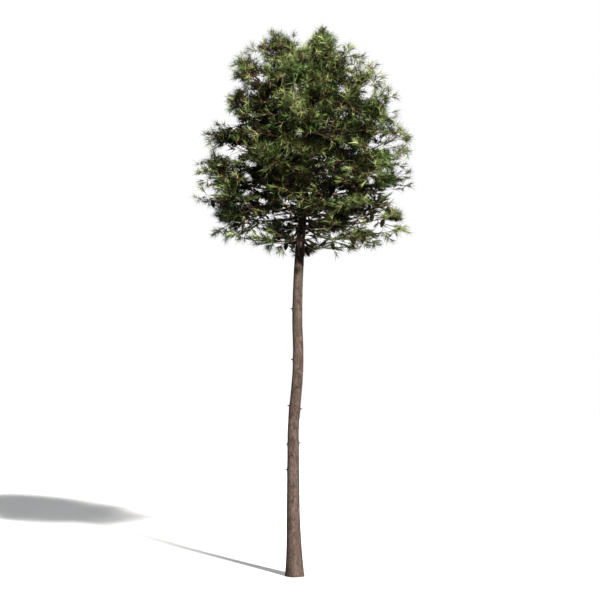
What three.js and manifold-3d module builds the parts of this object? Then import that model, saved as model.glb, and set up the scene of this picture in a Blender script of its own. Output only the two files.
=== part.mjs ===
// A pine 12 m tall: a long bare trunk with stubs of pruned boughs, and a round crown carried high up.
// Millimetres, +Z up. The origin is the middle of the flat cut at ground level, +X is to the right
// and +Y is away, as the tree is usually seen. Bearings are in degrees, from +X towards +Y.
import * as THREE from "three";
import { mergeVertices } from "three/addons/utils/BufferGeometryUtils.js";
import Module from "manifold-3d";

const wasm = await Module();
wasm.setup();
const { Manifold } = wasm;
const { degToRad, lerp, smoothstep } = THREE.MathUtils;

// The trunk: radii in the order that they come, from the ground to the leader.
const trunk = {
  top: 11250,
  crownFoot: 7200,
  footRadius: 138,
  crownRadius: 93,
  topRadius: 17,
  crownTaper: 0.9,
  sides: 14,
  footRings: [0, 110, 260, 460, 720],
  ringSpacing: 540,
};

// The root flare dies away upwards. It swells in lobes, and a little more on the right.
const flare = { radius: 60, height: 600, lobes: 4, lobeShare: 0.22, turn: 35, rightShare: 0.12 };

// The trunk leans and sways: each bend carries its axis sideways by x and y between two heights.
const trunkBends = [
  { from: 0, to: 1600, x: -26, y: 14 },
  { from: 3000, to: 4700, x: 108, y: -34 },
  { from: 4900, to: 5500, x: -18, y: 20 },
  { from: 5600, to: 11900, x: 400, y: 90 },
];

// Stubs of pruned boughs, by height on the trunk and bearing, and one broad old scar.
const stubs = [
  { height: 1630, bearing: -92 },
  { height: 2285, bearing: 178 },
  { height: 2620, bearing: -96 },
  { height: 2843, bearing: 186 },
  { height: 2865, bearing: 4 },
  { height: 3604, bearing: -8 },
  { height: 3676, bearing: 181 },
  { height: 4091, bearing: -84 },
  { height: 4677, bearing: 176 },
  { height: 5773, bearing: 183 },
  { height: 2360, bearing: 64 },
  { height: 3190, bearing: 118 },
  { height: 4240, bearing: 75 },
  { height: 5230, bearing: 104 },
  { height: 6120, bearing: 52 },
];
const stubShape = { length: 46, radii: [17, 11], rise: 8, sunk: 40, sides: 5 };
const scar = { height: 6745, bearing: -38 };
const scarShape = { length: 16, radii: [52, 38], rise: 0, sunk: 40, sides: 5 };

// The crown's outline, a body of revolution round an upright axis of its own, which no tip leaves.
// Its top is carried sideways by topShift.
const crown = {
  x: 225,
  y: 40,
  middle: 8850,
  radius: 2430,
  rise: 3150,
  riseCurve: 1.75,
  drop: 1980,
  dropCurve: 2.9,
  topShift: { from: 10300, to: 11700, x: -190 },
};

// Tiers of boughs from the lowest up. first is the bearing of a tier's first bough, and root the
// bough's radius there. Its slope runs from rise[0] at the trunk to rise[1] at its tip. bare is how
// many of its steps carry no foliage, and spread the reach of its longest twig.
const tiers = [
  { height: 7440, first: 47, boughs: 4, rise: [-40, 6], root: 35, bare: 4, spread: 900 },
  { height: 7800, first: 6, boughs: 5, rise: [-12, 14], root: 37, bare: 4, spread: 1150 },
  { height: 8300, first: 30, boughs: 5, rise: [4, 20], root: 37, bare: 4, spread: 1250 },
  { height: 8850, first: -8, boughs: 4, rise: [14, 26], root: 34, bare: 4, spread: 1250 },
  { height: 9350, first: 8, boughs: 4, rise: [24, 34], root: 29, bare: 3, spread: 1200 },
  { height: 9900, first: -14, boughs: 4, rise: [34, 42], root: 23, bare: 3, spread: 1100 },
  { height: 10450, first: 54, boughs: 3, rise: [46, 54], root: 17, bare: 3, spread: 950 },
];
const limbSteps = 12;
const limbShape = {
  tipRadius: 7,
  taper: 0.85,
  collar: 0.45,
  collarLength: 90,
  rings: [0, 0.5, 1],
  sides: 6,
};

// How far each limb strays from its tier's plan: degrees of bearing, bend and slope, shares of the
// crown's outline that it fills, and the heights that keep neighbours apart on the trunk.
const limbSway = { bearing: 7, swing: 7, rise: 3, fullness: [0.93, 1], stagger: 85, climb: 40 };
const limbGrowth = { shortest: 400, step: 10 };

// The leader is the trunk's last shoot, above its cut top.
const leader = { length: 240, spread: 700, twigs: 4, tipSize: 500, lean: 14, bearing: 10, seed: 901 };

// A mass is a stem that runs on from its bough, with twigs round it by the golden angle, flattened
// into the limb's own plate. Angles are off the stem, and close up towards its tip. turns sets how
// the first twigs of neighbouring stems are turned, and spaceAt the shares of a stem that its own
// space is measured from.
const stemShape = {
  endRadius: 15,
  sides: 3,
  steps: 3,
  turns: { first: 40, step: 75, cycle: 5 },
  spaceAt: [0.05, 0.35, 0.7, 1],
};
const twigRule = {
  spacing: 256,
  fewest: 3,
  along: [0.1, 0.5],
  turn: 137.5,
  turnSway: 12,
  angle: 58,
  closing: 20,
  angleSway: 6,
  plate: 0.5,
  lift: 0.12,
  shorten: 0.2,
  reach: [0.85, 1.15],
  roll: 60,
};
const twigShape = { rootRadius: 8, endRadius: 7, foot: 60 };
const tipTwig = { sunk: 40, length: 70 };

// One smaller spray grows out sideways part way along each twig.
const sideRule = {
  at: 0.45,
  lean: [48, 68],
  lift: [-0.35, 0.45],
  size: [0.85, 1],
  stalk: 0.16,
  foot: 35,
};

// A spray is a fan of teeth, as large as size allows and at most share of its twig's whole reach.
const sprayShape = { length: 680, size: [0.9, 1.1], share: 0.62, notch: 0.62, ruffle: 0.13, droop: 0.1 };
const broadSpray = { teeth: 7, fan: 60 };
const sideSpray = { teeth: 5, fan: 44 };

// Cones hang under the first twigs of these stems.
const cones = { "1_1": 1, "1_3": 1, "1_4": 2, "2_1": 1, "2_2": 1, "2_3": 1, "2_5": 2, "3_1": 1, "3_4": 1 };
const coneShape = {
  length: 180,
  width: 88,
  rings: [-0.2, 0.12, 0.38, 1],
  widths: [0.2, 0.75, 1, 0.2],
  stalk: 30,
  slope: -72,
  sides: 5,
};

// What grows takes the first of these shares of its full length that its space allows, and the
// first of the smaller ones that clears what stands already. Anything else is left out.
const fitShares = [1, 0.85, 0.7, 0.55, 0.4];
const clearShares = [1, 0.72];
const gap = 0.3;
const clearance = 3;

const barkBrown = new THREE.MeshStandardMaterial({ color: 0x7c6c61, roughness: 0.95, metalness: 0 });
const limbBrown = new THREE.MeshStandardMaterial({ color: 0x5d4e45, roughness: 0.95, metalness: 0 });
const needleGreen = new THREE.MeshStandardMaterial({ color: 0x3f5a26, roughness: 0.7, metalness: 0 });

// Lehmer's generator, so that every run grows the same tree.
function seeded(seed) {
  const modulus = 2147483647;
  let state = (seed * 7919 + 104729) % modulus;
  const next = () => {
    state = (state * 16807) % modulus;
    return state / modulus;
  };
  next();
  return next;
}

// A direction from its bearing and its slope above the horizontal.
function heading(bearing, rise) {
  const b = degToRad(bearing);
  const r = degToRad(rise);
  return new THREE.Vector3(Math.cos(b) * Math.cos(r), Math.sin(b) * Math.cos(r), Math.sin(r));
}

// The point that lies a distance from another, in a direction.
function ahead(point, direction, distance) {
  return point.clone().addScaledVector(direction, distance);
}

// A direction turned by an angle in degrees towards another that is square to it.
function leant(direction, sideways, angle) {
  const a = degToRad(angle);
  return direction.clone().multiplyScalar(Math.cos(a)).addScaledVector(sideways, Math.sin(a));
}

// A closed geometry as a solid.
function solidOf(geometry) {
  const bare = new THREE.BufferGeometry();
  bare.setAttribute("position", geometry.getAttribute("position"));
  bare.setIndex(geometry.getIndex());
  const merged = mergeVertices(bare, 1e-3);
  return new Manifold(
    new wasm.Mesh({
      numProp: 3,
      vertProperties: merged.getAttribute("position").array,
      triVerts: new Uint32Array(merged.getIndex().array),
    }),
  );
}

// A cylinder with flat ends laid along a path, with a radius for each of its points. side is the
// direction that the sides are counted from. The first end is square to firstWay, where it is given.
function laidAlong(path, radii, sides, side, firstWay) {
  const steps = path.length - 1;
  const geometry = new THREE.CylinderGeometry(1, 1, 1, sides, steps);
  const position = geometry.getAttribute("position");
  const rings = path.map((point, i) => {
    const chord = path[Math.min(i + 1, steps)].clone().sub(path[Math.max(i - 1, 0)]).normalize();
    const way = i === 0 && firstWay ? firstWay : chord;
    const across = side.clone().addScaledVector(way, -side.dot(way)).normalize();
    return { point, across, up: way.clone().cross(across) };
  });
  for (let v = 0; v < position.count; v++) {
    const i = Math.round((0.5 - position.getY(v)) * steps);
    const { point, across, up } = rings[i];
    const placed = ahead(point, across, position.getX(v) * radii[i]);
    placed.addScaledVector(up, position.getZ(v) * radii[i]);
    position.setXYZ(v, placed.x, placed.y, placed.z);
  }
  return geometry;
}

function trunkAxis(height) {
  const axis = new THREE.Vector3(0, 0, height);
  for (const bend of trunkBends) {
    const share = smoothstep(height, bend.from, bend.to);
    axis.x += bend.x * share;
    axis.y += bend.y * share;
  }
  return axis;
}

function trunkRadius(height) {
  if (height < trunk.crownFoot) {
    return lerp(trunk.footRadius, trunk.crownRadius, height / trunk.crownFoot);
  }
  const share = (height - trunk.crownFoot) / (trunk.top - trunk.crownFoot);
  return lerp(trunk.crownRadius, trunk.topRadius, share ** trunk.crownTaper);
}

function flareRadius(height, angle) {
  const lobes = flare.lobeShare * Math.cos(flare.lobes * angle + degToRad(flare.turn));
  const swelling = 1 + lobes + flare.rightShare * Math.cos(angle);
  return flare.radius * Math.exp(-height / flare.height) * swelling;
}

// The trunk's solid, with its radius grown by a margin where boughs are cut to clear it.
function trunkSolid(margin) {
  const foot = trunk.footRings.at(-1);
  const rings = Math.round((trunk.top - foot) / trunk.ringSpacing);
  const upper = Array.from({ length: rings }, (_, i) => lerp(foot, trunk.top, (i + 1) / rings));
  const heights = [...trunk.footRings, ...upper];
  const geometry = new THREE.CylinderGeometry(1, 1, 1, trunk.sides, heights.length - 1);
  geometry.rotateX(Math.PI / 2);
  const position = geometry.getAttribute("position");
  for (let v = 0; v < position.count; v++) {
    const height = heights[Math.round((0.5 + position.getZ(v)) * (heights.length - 1))];
    const [x, y] = [position.getX(v), position.getY(v)];
    const radius = trunkRadius(height) + flareRadius(height, Math.atan2(y, x)) + margin;
    const axis = trunkAxis(height);
    position.setXYZ(v, axis.x + x * radius, axis.y + y * radius, height);
  }
  return solidOf(geometry);
}

// A short cone frustum that stands out of the trunk at a height and bearing.
function stubSolid({ height, bearing }, shape) {
  const out = heading(bearing, shape.rise);
  const axis = trunkAxis(height);
  const start = ahead(axis, out, trunkRadius(height) - shape.sunk);
  const end = ahead(axis, out, trunkRadius(height) + shape.length);
  return solidOf(laidAlong([start, end], shape.radii, shape.sides, new THREE.Vector3(0, 0, 1)));
}

// How far out a point is in the crown, with 1 on the outline.
function crownShare({ x, y, z }) {
  const above = z > crown.middle;
  const level = Math.abs(z - crown.middle) / (above ? crown.rise : crown.drop);
  const shifted = crown.topShift.x * smoothstep(z, crown.topShift.from, crown.topShift.to);
  const out = Math.hypot(x - crown.x - shifted, y - crown.y) / crown.radius;
  return out ** 2 + level ** (above ? crown.riseCurve : crown.dropCurve);
}

// A limb from the trunk's axis to the tip of its foliage's stem, as evenly spaced points. It grows
// until a spray at its tip would reach the crown's outline.
function limbOf(tier, number) {
  const random = seeded(100 * (tiers.indexOf(tier) + 1) + number);
  const between = (low, high) => lerp(low, high, random());
  const straying = between(-limbSway.bearing, limbSway.bearing);
  const bearing = tier.first + (360 / tier.boughs) * number + straying;
  const swing = limbSway.swing * (random() > 0.5 ? 1 : -1);
  const [riseRoot, riseTip] = tier.rise.map((rise) => rise + between(-limbSway.rise, limbSway.rise));
  const fullness = between(...limbSway.fullness);
  const staggered = limbSway.stagger * (number % 2 ? 1 : -1) + limbSway.climb * number;
  const ways = Array.from({ length: limbSteps }, (_, i) => {
    const sideways = swing * Math.cos((Math.PI * i) / limbSteps);
    return heading(bearing + sideways, lerp(riseRoot, riseTip, (i + 0.5) / limbSteps));
  });
  const grownTo = (length) => {
    const points = [trunkAxis(tier.height + staggered)];
    ways.forEach((way, i) => points.push(ahead(points[i], way, length / limbSteps)));
    return points;
  };
  const tipOf = (points) => ahead(points.at(-1), ways.at(-1), sprayShape.length);
  let length = limbGrowth.shortest;
  while (crownShare(tipOf(grownTo(length))) < fullness) length += limbGrowth.step;
  return { ...tier, points: grownTo(length), length, side: heading(bearing + 90, 0), random };
}

function limbRadius(limb, share) {
  const taper = lerp(limb.root, limbShape.tipRadius, share ** limbShape.taper);
  return taper * (1 + limbShape.collar * Math.exp((-share * limb.length) / limbShape.collarLength));
}

// A point part way along a limb, with the direction there.
function onLimb(limb, share) {
  const at = Math.min(share * limbSteps, limbSteps - 1e-6);
  const i = Math.floor(at);
  const direction = limb.points[i + 1].clone().sub(limb.points[i]).normalize();
  return { point: limb.points[i].clone().lerp(limb.points[i + 1], at - i), direction };
}

// The bough is the bare part of its limb.
function boughPath(limb) {
  return limbShape.rings.map((share) => onLimb(limb, (share * limb.bare) / limbSteps).point);
}

function boughSolid(limb) {
  const radii = limbShape.rings.map((share) => limbRadius(limb, (share * limb.bare) / limbSteps));
  return solidOf(laidAlong(boughPath(limb), radii, limbShape.sides, limb.side));
}

// A twig that ends in a spray of needles, a blade with teeth that thins from the twig to every edge.
// Its teeth are bent up and down by turns, so that it shows from all sides. start leaves out the
// foot of the twig.
function leafyTwig({ root, direction, flat, length, size, teeth, fan }, start = 0) {
  const across = flat.clone().addScaledVector(direction, -flat.dot(direction)).normalize();
  const normal = direction.clone().cross(across);
  const place = (along, sideways, lift) =>
    ahead(root, direction, along).addScaledVector(across, sideways).addScaledVector(normal, lift);
  const ring = (along, radius) => [
    place(along, -radius, 0),
    place(along, 0, radius),
    place(along, radius, 0),
    place(along, 0, -radius),
  ];
  const outline = Array.from({ length: 2 * teeth - 1 }, (_, i) => {
    const share = i / (teeth - 1) - 1;
    const angle = share * degToRad(fan);
    const reach = size * ((i % 2 ? sprayShape.notch : 1) - sprayShape.droop * share * share);
    const lift = i % 2 ? 0 : reach * sprayShape.ruffle * (i % 4 ? 1 : -1);
    return place(length + reach * Math.cos(angle), reach * Math.sin(angle), lift);
  });
  const index = [0, 1, 2, 0, 2, 3];
  for (let i = 0; i < 4; i++) {
    const next = (i + 1) % 4;
    index.push(i, i + 4, next + 4, i, next + 4, next);
  }
  const edge = [4, ...outline.map((_, i) => 8 + i), 6];
  for (let i = 1; i < edge.length; i++) {
    index.push(5, edge[i - 1], edge[i], 7, edge[i], edge[i - 1]);
  }
  const rings = [...ring(start, twigShape.rootRadius), ...ring(length, twigShape.endRadius)];
  const geometry = new THREE.BufferGeometry().setFromPoints([...rings, ...outline]);
  geometry.setIndex(index);
  return solidOf(geometry);
}

// A cone is a spindle, broadest a third of the way down.
function coneSolid({ root, direction, flat }) {
  const path = coneShape.rings.map((share) => ahead(root, direction, share * coneShape.length));
  const radii = coneShape.widths.map((share) => (share * coneShape.width) / 2);
  return solidOf(laidAlong(path, radii, coneShape.sides, flat));
}

function stemSolid(stem) {
  const { steps, sides, endRadius } = stemShape;
  const shares = Array.from({ length: steps + 1 }, (_, i) => i / steps);
  const path = shares.map((share) => stem.at(lerp(stem.start, 1, share)).point);
  path[0].addScaledVector(stem.rootWay, gap);
  const radii = shares.map((share) => lerp(stem.rootRadius, endRadius, share));
  return solidOf(laidAlong(path, radii, sides, stem.side, stem.rootWay));
}

// True if a point lies in the crown and nearer to its own stem than to any other.
function inSpace(point, own, stems) {
  if (crownShare(point) > 1) return false;
  const away = (stem) => Math.min(...stem.line.map((p) => p.distanceTo(point)));
  const mine = away(own);
  return stems.every((stem) => stem === own || away(stem) > mine);
}

// The twigs of one stem, by the rule: a leafy twig at its tip, then those along it, each with a side
// spray and perhaps a cone. What grows is as long as its space lets it be.
function grown(stem, stems) {
  const { random } = stem;
  const between = (low, high) => lerp(low, high, random());
  const fitted = (root, way, most) =>
    fitShares.map((share) => share * most).find((reach) => inSpace(ahead(root, way, reach), stem, stems));
  const tip = stem.at(1);
  const made = [
    {
      root: ahead(tip.point, tip.direction, -tipTwig.sunk),
      direction: tip.direction,
      flat: stem.side.clone().applyAxisAngle(tip.direction, degToRad(stem.turn)),
      length: tipTwig.length,
      size: stem.tipSize,
      foot: twigShape.foot,
      ...broadSpray,
    },
  ];
  for (let n = 0; n < stem.twigs; n++) {
    const along = (n + between(...twigRule.along)) / stem.twigs;
    const { point, direction } = stem.at(lerp(stem.start, 1, along));
    const turn = stem.turn + n * twigRule.turn + between(-twigRule.turnSway, twigRule.turnSway);
    const sway = between(-twigRule.angleSway, twigRule.angleSway);
    const up = direction.clone().cross(stem.side).negate().normalize();
    const out = stem.side.clone().multiplyScalar(Math.cos(degToRad(turn)));
    out.addScaledVector(up, twigRule.plate * Math.sin(degToRad(turn))).normalize();
    const way = leant(direction, out, twigRule.angle - twigRule.closing * along + sway);
    way.z += twigRule.lift;
    way.normalize();
    const most = stem.spread * (1 - twigRule.shorten * along) * between(...twigRule.reach);
    const reach = fitted(point, way, most) ?? 0;
    const size = Math.min(sprayShape.share * reach, sprayShape.length * between(...sprayShape.size));
    const length = reach - size;
    const roll = degToRad(between(-twigRule.roll, twigRule.roll));
    const flat = way.clone().cross(up).normalize().applyAxisAngle(way, roll);

    const lean = between(...sideRule.lean) * (n % 2 ? 1 : -1);
    const sideWay = leant(way, flat, lean);
    sideWay.z += between(...sideRule.lift);
    sideWay.normalize();
    const sideRoll = degToRad(between(-twigRule.roll, twigRule.roll));
    const sideRoot = ahead(point, way, length * sideRule.at);
    const side = fitted(sideRoot, sideWay, size * between(...sideRule.size));
    const stalk = side * sideRule.stalk;
    const coneBearing = between(0, 360);
    if (!reach) continue;
    made.push({
      root: point,
      direction: way,
      flat,
      length,
      size,
      foot: twigShape.foot,
      ...broadSpray,
      side: side && {
        root: sideRoot,
        direction: sideWay,
        flat: flat.clone().applyAxisAngle(sideWay, sideRoll),
        length: stalk,
        size: side - stalk,
        foot: sideRule.foot,
        ...sideSpray,
      },
      cone: n < (cones[stem.name] ?? 0) && {
        root: ahead(point, way, length / 2).setZ(point.z + (way.z * length) / 2 - coneShape.stalk),
        direction: heading(coneBearing, coneShape.slope),
        flat: stem.side,
      },
    });
  }
  return made;
}

function geometryOf(solid) {
  const { numProp, vertProperties, triVerts } = solid.getMesh();
  const geometry = new THREE.BufferGeometry();
  const count = vertProperties.length / numProp;
  const position = new Float32Array(count * 3);
  for (let v = 0; v < count; v++) {
    position.set(vertProperties.subarray(v * numProp, v * numProp + 3), v * 3);
  }
  geometry.setAttribute("position", new THREE.BufferAttribute(position, 3));
  geometry.setIndex(new THREE.BufferAttribute(new Uint32Array(triVerts), 1));
  return geometry;
}

const limbs = tiers.flatMap((tier, t) =>
  Array.from({ length: tier.boughs }, (_, number) => ({
    ...limbOf(tier, number),
    name: `${t + 1}_${number + 1}`,
  })),
);

const stems = limbs.map((limb, i) => {
  const { first, step, cycle } = stemShape.turns;
  const start = limb.bare / limbSteps;
  const [before, last] = boughPath(limb).slice(-2);
  return {
    ...limb,
    start,
    twigs: Math.max(twigRule.fewest, Math.round((limb.length * (1 - start)) / twigRule.spacing)),
    tipSize: sprayShape.length,
    turn: first + step * (i % cycle),
    rootRadius: limbRadius(limb, start),
    rootWay: last.clone().sub(before).normalize(),
    at: (share) => onLimb(limb, share),
  };
});
const leaderWay = heading(leader.bearing, 90 - leader.lean);
stems.push({
  ...leader,
  name: "leader",
  start: 0,
  side: heading(leader.bearing + 90, 0),
  random: seeded(leader.seed),
  turn: 0,
  rootRadius: trunk.topRadius,
  rootWay: new THREE.Vector3(0, 0, 1),
  at: (share) => ({
    point: ahead(trunkAxis(trunk.top), leaderWay, share * leader.length),
    direction: leaderWay.clone(),
  }),
});
for (const stem of stems) {
  stem.line = stemShape.spaceAt.map((share) => stem.at(lerp(stem.start, 1, share)).point);
}

const tree = new THREE.Group();
function addNode(name, solid, material) {
  const mesh = new THREE.Mesh(geometryOf(solid), material);
  mesh.name = name;
  tree.add(mesh);
}

const trunkWithStubs = Manifold.union([
  trunkSolid(0),
  ...stubs.map((stub) => stubSolid(stub, stubShape)),
  stubSolid(scar, scarShape),
]);
addNode("trunk", trunkWithStubs, barkBrown);

const boughs = limbs.map((limb) => boughSolid(limb).subtract(trunkSolid(1.5 * gap)));
limbs.forEach((limb, i) => addNode(`bough_${limb.name}`, boughs[i], limbBrown));

// Each mass is fused from its stem and those twigs that are clear of the wood, of the masses before
// it and of one another, but for the foot that is sunk in what carries it.
const standing = [trunkWithStubs, ...boughs];
for (const stem of stems) {
  const parts = [stemSolid(stem)];
  const isClear = (solid) =>
    [...standing, ...parts].every((other) => solid.minGap(other, clearance) >= clearance);
  const added = (twig) => {
    const sizes = clearShares.map((share) => ({
      ...twig,
      length: twig.length * share,
      size: twig.size * share,
    }));
    const free = sizes.find((tried) => isClear(leafyTwig(tried, twig.foot)));
    if (free) parts.push(leafyTwig(free));
    return Boolean(free);
  };
  for (const twig of grown(stem, stems)) {
    if (!added(twig)) continue;
    if (twig.side) added(twig.side);
    if (twig.cone) parts.push(coneSolid(twig.cone));
  }
  const bodies = Manifold.union(parts).decompose();
  const mass = bodies.reduce((best, body) => (body.volume() > best.volume() ? body : best));
  standing.push(mass);
  addNode(`foliage_${stem.name}`, mass, needleGreen);
}

export default tree;
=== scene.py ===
import math

import bpy
import numpy as np
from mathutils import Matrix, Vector, noise


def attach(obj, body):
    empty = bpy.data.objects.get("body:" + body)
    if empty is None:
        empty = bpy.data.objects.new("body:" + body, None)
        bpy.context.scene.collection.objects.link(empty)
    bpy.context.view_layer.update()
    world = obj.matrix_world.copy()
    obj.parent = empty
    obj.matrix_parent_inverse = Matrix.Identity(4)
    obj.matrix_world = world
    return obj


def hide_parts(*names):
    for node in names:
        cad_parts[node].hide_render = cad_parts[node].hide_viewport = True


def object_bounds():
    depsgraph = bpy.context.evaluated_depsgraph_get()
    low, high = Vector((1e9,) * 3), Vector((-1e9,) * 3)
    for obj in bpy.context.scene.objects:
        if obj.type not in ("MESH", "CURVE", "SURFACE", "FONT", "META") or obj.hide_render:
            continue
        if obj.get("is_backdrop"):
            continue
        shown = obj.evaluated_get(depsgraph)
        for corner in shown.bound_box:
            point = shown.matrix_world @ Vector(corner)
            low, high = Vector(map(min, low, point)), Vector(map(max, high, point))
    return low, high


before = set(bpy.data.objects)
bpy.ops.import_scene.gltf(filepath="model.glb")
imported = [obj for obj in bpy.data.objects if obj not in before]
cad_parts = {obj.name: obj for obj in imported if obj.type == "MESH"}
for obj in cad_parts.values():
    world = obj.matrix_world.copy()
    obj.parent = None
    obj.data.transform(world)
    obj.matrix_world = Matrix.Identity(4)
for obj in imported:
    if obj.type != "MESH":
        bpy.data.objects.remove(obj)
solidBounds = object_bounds()


# The rule that the tree grows by, as in the part's source

trunk = {
    "top": 11.25,
    "crownFoot": 7.2,
    "footRadius": 0.138,
    "crownRadius": 0.093,
    "topRadius": 0.017,
    "crownTaper": 0.9,
}
flare = {"radius": 0.06, "height": 0.6, "lobes": 4, "lobeShare": 0.22, "turn": 35, "rightShare": 0.12}
trunkBends = [  # from height, to height, sideways x and y
    (0, 1.6, -0.026, 0.014),
    (3.0, 4.7, 0.108, -0.034),
    (4.9, 5.5, -0.018, 0.02),
    (5.6, 11.9, 0.4, 0.09),
]
crown = {
    "x": 0.225,
    "y": 0.04,
    "middle": 8.85,
    "radius": 2.43,
    "rise": 3.15,
    "riseCurve": 1.75,
    "drop": 1.98,
    "dropCurve": 2.9,
    "topShift": (10.3, 11.7, -0.19),  # from height, to height, sideways
}
tiers = [
    {"height": 7.44, "first": 47, "boughs": 4, "rise": (-40, 6), "root": 0.035, "bare": 4, "spread": 0.9},
    {"height": 7.8, "first": 6, "boughs": 5, "rise": (-12, 14), "root": 0.037, "bare": 4, "spread": 1.15},
    {"height": 8.3, "first": 30, "boughs": 5, "rise": (4, 20), "root": 0.037, "bare": 4, "spread": 1.25},
    {"height": 8.85, "first": -8, "boughs": 4, "rise": (14, 26), "root": 0.034, "bare": 4, "spread": 1.25},
    {"height": 9.35, "first": 8, "boughs": 4, "rise": (24, 34), "root": 0.029, "bare": 3, "spread": 1.2},
    {"height": 9.9, "first": -14, "boughs": 4, "rise": (34, 42), "root": 0.023, "bare": 3, "spread": 1.1},
    {"height": 10.45, "first": 54, "boughs": 3, "rise": (46, 54), "root": 0.017, "bare": 3, "spread": 0.95},
]
limbRule = {
    "steps": 12,
    "tipRadius": 0.007,
    "taper": 0.85,
    "collar": 0.45,
    "collarLength": 0.09,
    "bearing": 7,
    "swing": 7,
    "rise": 3,
    "fullness": (0.93, 1),
    "stagger": 0.085,
    "climb": 0.04,
    "shortest": 40,  # centimetres
    "seeds": 100,  # how far apart the tiers' seeds are
    "turn": (40, 75, 5),  # of its twigs round it: the first bough's, the step to the next, and how many
}
leader = {"length": 0.24, "spread": 0.7, "twigs": 4, "tipSize": 0.5, "lean": 14, "bearing": 10, "seed": 901}
twigRule = {
    "spacing": 0.256,
    "fewest": 3,
    "along": (0.1, 0.5),
    "turn": 137.5,
    "turnSway": 12,
    "angle": 58,
    "closing": 20,
    "angleSway": 6,
    "plate": 0.5,
    "lift": 0.12,
    "shorten": 0.2,
    "reach": (0.85, 1.15),
    "roll": 60,
}
sideRule = {"at": 0.45, "lean": (48, 68), "lift": (-0.35, 0.45), "size": (0.85, 1), "stalk": 0.16}
sprayRule = {"length": 0.68, "size": (0.9, 1.1), "share": 0.62, "notch": 0.62, "ruffle": 0.13, "droop": 0.1}
tipSpray = {"back": 0.04, "stalk": 0.07}
broadSpray = {"teeth": 7, "fan": 60}
sideSpray = {"teeth": 5, "fan": 44}
fitShares = (1, 0.85, 0.7, 0.55, 0.4)
conesOn = {"1_1": 1, "1_3": 1, "1_4": 2, "2_1": 1, "2_2": 1, "2_3": 1, "2_5": 2, "3_1": 1, "3_4": 1}
coneRule = {"length": 0.18, "width": 0.088, "stalk": 0.03, "slope": -72}
drawRule = {"modulus": 2147483647, "factor": 16807, "apart": 7919, "first": 104729}


def seeded(seed):
    modulus = drawRule["modulus"]
    state = (seed * drawRule["apart"] + drawRule["first"]) % modulus

    def draw():
        nonlocal state
        state = state * drawRule["factor"] % modulus
        return state / modulus

    draw()
    return draw


def lerp(low, high, share):
    return low + (high - low) * share


# Turns draws from 0 to 1 into draws between two values.
def ranged(draw):
    return lambda low, high: lerp(low, high, draw())


def smoothstep(value, low, high):
    share = min(max((value - low) / (high - low), 0), 1)
    return share * share * (3 - 2 * share)


def unit(vector):
    return vector / math.sqrt(float(vector @ vector))


def heading(bearing, rise):
    b, r = math.radians(bearing), math.radians(rise)
    return np.array([math.cos(b) * math.cos(r), math.sin(b) * math.cos(r), math.sin(r)])


def leant(direction, sideways, angle):
    return direction * math.cos(math.radians(angle)) + sideways * math.sin(math.radians(angle))


def turned(vector, axis, angle):
    a = math.radians(angle)
    along = axis * float(axis @ vector) * (1 - math.cos(a))
    return vector * math.cos(a) + np.cross(axis, vector) * math.sin(a) + along


def trunkAxis(height):
    x = sum(bend[2] * smoothstep(height, bend[0], bend[1]) for bend in trunkBends)
    y = sum(bend[3] * smoothstep(height, bend[0], bend[1]) for bend in trunkBends)
    return np.array([x, y, height])


def trunkRadius(height):
    if height < trunk["crownFoot"]:
        return lerp(trunk["footRadius"], trunk["crownRadius"], height / trunk["crownFoot"])
    share = (height - trunk["crownFoot"]) / (trunk["top"] - trunk["crownFoot"])
    return lerp(trunk["crownRadius"], trunk["topRadius"], min(share, 1) ** trunk["crownTaper"])


def flareRadius(height, angle):
    lobes = flare["lobeShare"] * math.cos(flare["lobes"] * angle + math.radians(flare["turn"]))
    swelling = 1 + lobes + flare["rightShare"] * math.cos(angle)
    return flare["radius"] * math.exp(-height / flare["height"]) * swelling


# How far out a point is in the crown, with 1 on the outline.
def crownShare(point):
    above = point[2] > crown["middle"]
    level = abs(point[2] - crown["middle"]) / crown["rise" if above else "drop"]
    low, high, sideways = crown["topShift"]
    shifted = crown["x"] + sideways * smoothstep(point[2], low, high)
    out = math.hypot(point[0] - shifted, point[1] - crown["y"]) / crown["radius"]
    return out**2 + level ** crown["riseCurve" if above else "dropCurve"]


def limbOf(tierNumber, number):
    tier, rule = tiers[tierNumber], limbRule
    random = seeded(rule["seeds"] * (tierNumber + 1) + number)
    between = ranged(random)
    straying = between(-rule["bearing"], rule["bearing"])
    bearing = tier["first"] + 360 / tier["boughs"] * number + straying
    swing = rule["swing"] * (1 if random() > 0.5 else -1)
    riseRoot, riseTip = [rise + between(-rule["rise"], rule["rise"]) for rise in tier["rise"]]
    fullness = between(*rule["fullness"])
    staggered = rule["stagger"] * (1 if number % 2 else -1) + rule["climb"] * number
    steps = rule["steps"]
    ways = [
        heading(
            bearing + swing * math.cos(math.pi * i / steps),
            lerp(riseRoot, riseTip, (i + 0.5) / steps),
        )
        for i in range(steps)
    ]

    def grownTo(length):
        points = [trunkAxis(tier["height"] + staggered)]
        for way in ways:
            points.append(points[-1] + way * (length / steps))
        return points

    centimetres = rule["shortest"]
    while crownShare(grownTo(centimetres / 100)[-1] + ways[-1] * sprayRule["length"]) < fullness:
        centimetres += 1
    return {
        **tier,
        "tier": tierNumber,
        "name": f"{tierNumber + 1}_{number + 1}",
        "points": grownTo(centimetres / 100),
        "length": centimetres / 100,
        "side": heading(bearing + 90, 0),
        "random": random,
    }


def limbRadius(limb, share):
    taper = lerp(limb["root"], limbRule["tipRadius"], share ** limbRule["taper"])
    return taper * (1 + limbRule["collar"] * math.exp(-share * limb["length"] / limbRule["collarLength"]))


def onLimb(limb, share):
    at = min(share * limbRule["steps"], limbRule["steps"] - 1e-6)
    i = math.floor(at)
    before, after = limb["points"][i], limb["points"][i + 1]
    return before + (after - before) * (at - i), unit(after - before)


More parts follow.
